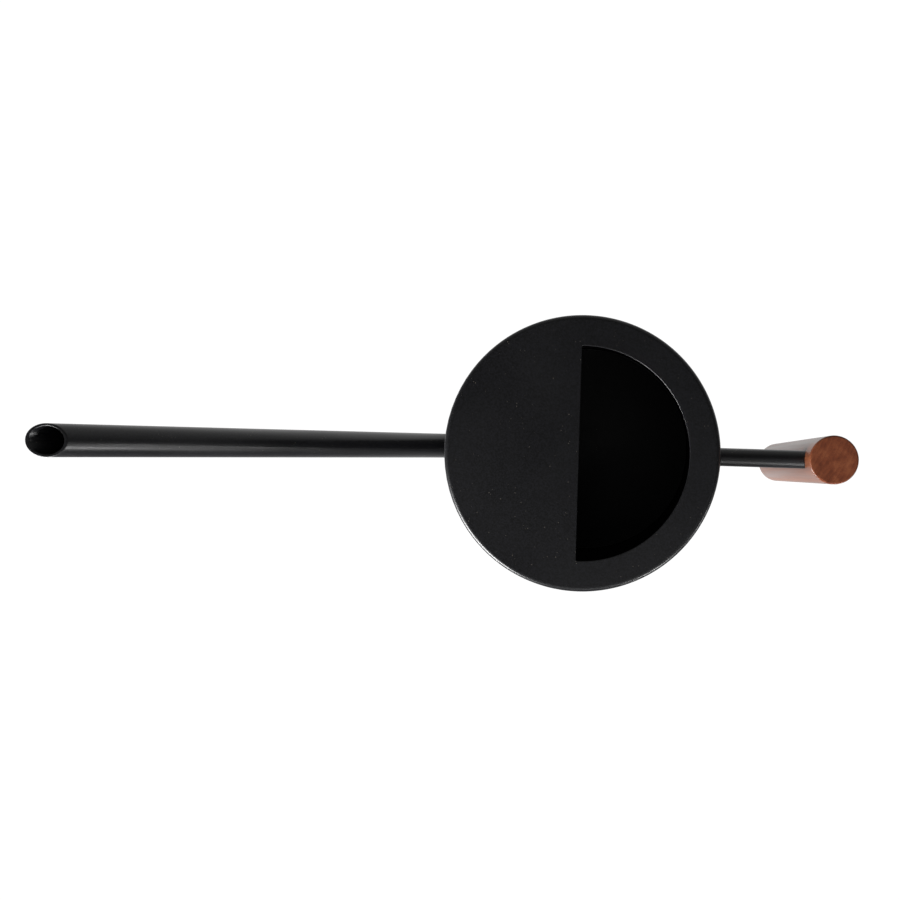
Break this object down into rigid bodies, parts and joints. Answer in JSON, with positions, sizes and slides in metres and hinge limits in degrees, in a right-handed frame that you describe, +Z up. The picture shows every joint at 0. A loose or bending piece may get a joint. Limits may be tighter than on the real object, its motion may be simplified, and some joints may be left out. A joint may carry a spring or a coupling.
{
  "type": "watering can",
  "caption": "Round sheet-steel watering can with a half-moon filling hole, one long straight spout and an upright wooden grip on a rod.",
  "frame": {"origin": "centre of the base's flat underside", "axes": "+Z up, the spout points to -X, the grip stands at +X, and the XZ plane is the plane of symmetry"},
  "size_m": [0.3433, 0.125, 0.22],
  "materials": {
    "black_powder_coat": "fine matte polyester powder coat on steel",
    "stained_wood": "stained and oiled hardwood",
    "plated_steel": "zinc plated",
    "brass": "turned"
  },
  "bodies": {
    "root": {"body_shell": "black_powder_coat", "shell_seam_weld": "black_powder_coat", "top_plate": "black_powder_coat", "top_rim_weld": "black_powder_coat", "base_plate": "black_powder_coat", "base_rim_weld": "black_powder_coat", "spout_tube": "black_powder_coat", "spout_seam_weld": "black_powder_coat", "spout_root_weld": "black_powder_coat", "handle_arm": "black_powder_coat", "arm_outer_weld": "black_powder_coat", "arm_doubler": "black_powder_coat", "doubler_welds": "black_powder_coat", "arm_inner_weld": "black_powder_coat", "grip": "stained_wood", "grip_stud": "plated_steel", "grip_insert": "brass"}
  },
  "joints": []
}
